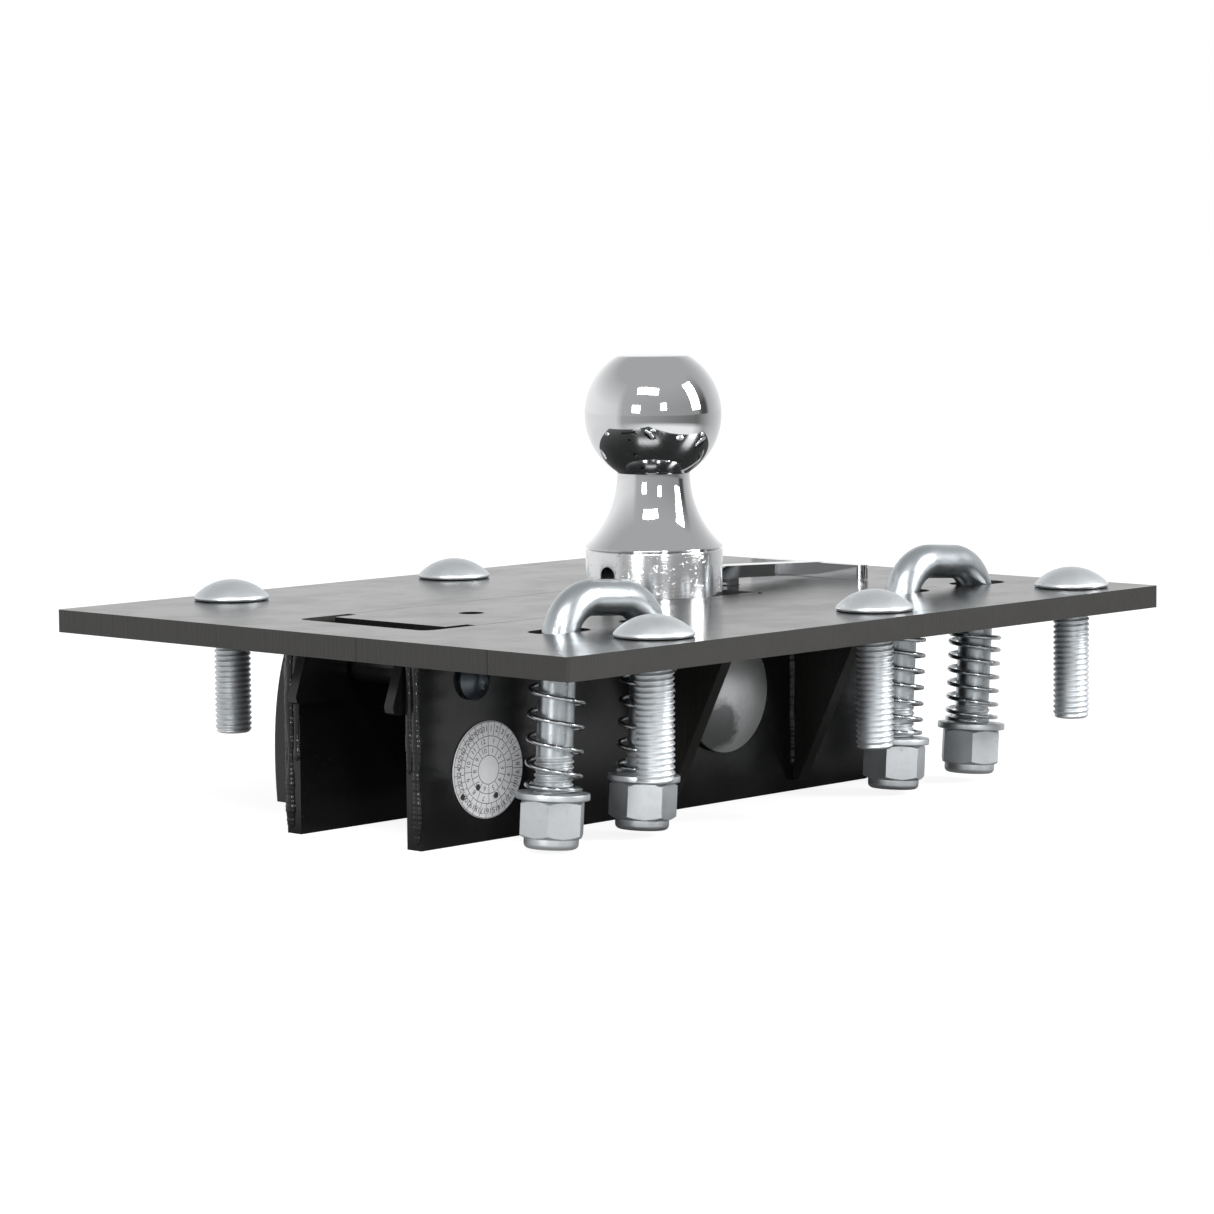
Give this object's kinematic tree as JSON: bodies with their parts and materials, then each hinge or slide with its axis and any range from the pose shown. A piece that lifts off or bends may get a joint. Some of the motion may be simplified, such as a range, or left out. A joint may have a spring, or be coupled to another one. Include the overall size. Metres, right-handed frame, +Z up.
{
  "type": "folding-ball gooseneck hitch",
  "caption": "Over-bed gooseneck hitch: a tow ball on a pivoting block folds into a slotted deck plate on two rails, with sprung safety-chain U-bolts.",
  "frame": {"origin": "middle of the footprint, on the plane of the rails' lower edges", "axes": "+X along the rails away from the well that the ball folds into, +Y across towards the side without U-bolts, +Z up through the ball"},
  "size_m": [0.37, 0.296, 0.1892],
  "materials": {
    "black_powder_coat": "semi-gloss",
    "chrome_plate": "polished",
    "zinc_plate": "bright zinc",
    "cast_steel": "galvanised, matt",
    "spring_steel": "bright zinc",
    "label_vinyl": "matt"
  },
  "bodies": {
    "frame": {"deck_plate": "black_powder_coat", "rail_near": "black_powder_coat", "rail_far": "black_powder_coat", "gusset_near_left": "black_powder_coat", "gusset_near_right": "black_powder_coat", "gusset_far_left": "black_powder_coat", "gusset_far_right": "black_powder_coat", "end_stiffener": "black_powder_coat", "end_tab_near": "black_powder_coat", "end_tab_far": "black_powder_coat", "cross_bolt": "black_powder_coat", "cross_sleeve": "black_powder_coat", "lock_ear_near": "black_powder_coat", "lock_ear_far": "black_powder_coat", "hinge_pin": "cast_steel", "cross_nut": "zinc_plate", "hinge_pin_nut": "zinc_plate", "lock_pin": "zinc_plate", "carriage_bolt_1": "zinc_plate", "carriage_bolt_2": "zinc_plate", "carriage_bolt_3": "zinc_plate", "carriage_bolt_4": "zinc_plate", "carriage_bolt_5": "zinc_plate", "carriage_bolt_6": "zinc_plate", "lock_spring": "spring_steel", "spring_1": "spring_steel", "spring_2": "spring_steel", "spring_3": "spring_steel", "spring_4": "spring_steel", "inspection_label": "label_vinyl"},
    "ball": {"ball_block": "cast_steel", "tow_ball": "chrome_plate"},
    "cover": {"slot_cover": "black_powder_coat"},
    "lock": {"lock_lever": "chrome_plate"},
    "chain_loop_left": {"ubolt_left": "zinc_plate", "nut_1": "zinc_plate", "nut_2": "zinc_plate", "washer_1": "zinc_plate", "washer_2": "zinc_plate"},
    "chain_loop_right": {"ubolt_right": "zinc_plate", "nut_3": "zinc_plate", "nut_4": "zinc_plate", "washer_3": "zinc_plate", "washer_4": "zinc_plate"}
  },
  "joints": [
    {"name": "ball_fold", "type": "hinge", "parent": "frame", "child": "ball", "pos_m": [0.023, 0, 0.047], "axis": [0, -1, 0], "range_deg": [0, 90]},
    {"name": "cover_lift", "type": "slide", "parent": "frame", "child": "cover", "axis": [-0.7071, 0, 0.7071], "range_m": [0, 0.265]},
    {"name": "lock_turn", "type": "hinge", "parent": "frame", "child": "lock", "pos_m": [0.071, 0, 0.072], "axis": [0, -1, 0], "range_deg": [0, 15], "stiffness_Nm_per_rad": 0.3, "springref_deg": -34.38},
    {"name": "chain_loop_left_lift", "type": "slide", "parent": "frame", "child": "chain_loop_left", "axis": [0.0698, 0, 0.9976], "range_m": [0, 0.035], "stiffness_N_per_m": 600, "springref_m": -0.02, "deforming": ["spring_1", "spring_2"]},
    {"name": "chain_loop_right_lift", "type": "slide", "parent": "frame", "child": "chain_loop_right", "axis": [0.0698, 0, 0.9976], "range_m": [0, 0.035], "stiffness_N_per_m": 600, "springref_m": -0.02, "deforming": ["spring_3", "spring_4"]}
  ],
  "couplings": [
    {"joint": "cover_lift", "follows": "ball_fold", "m_per_rad": 0.165}
  ]
}
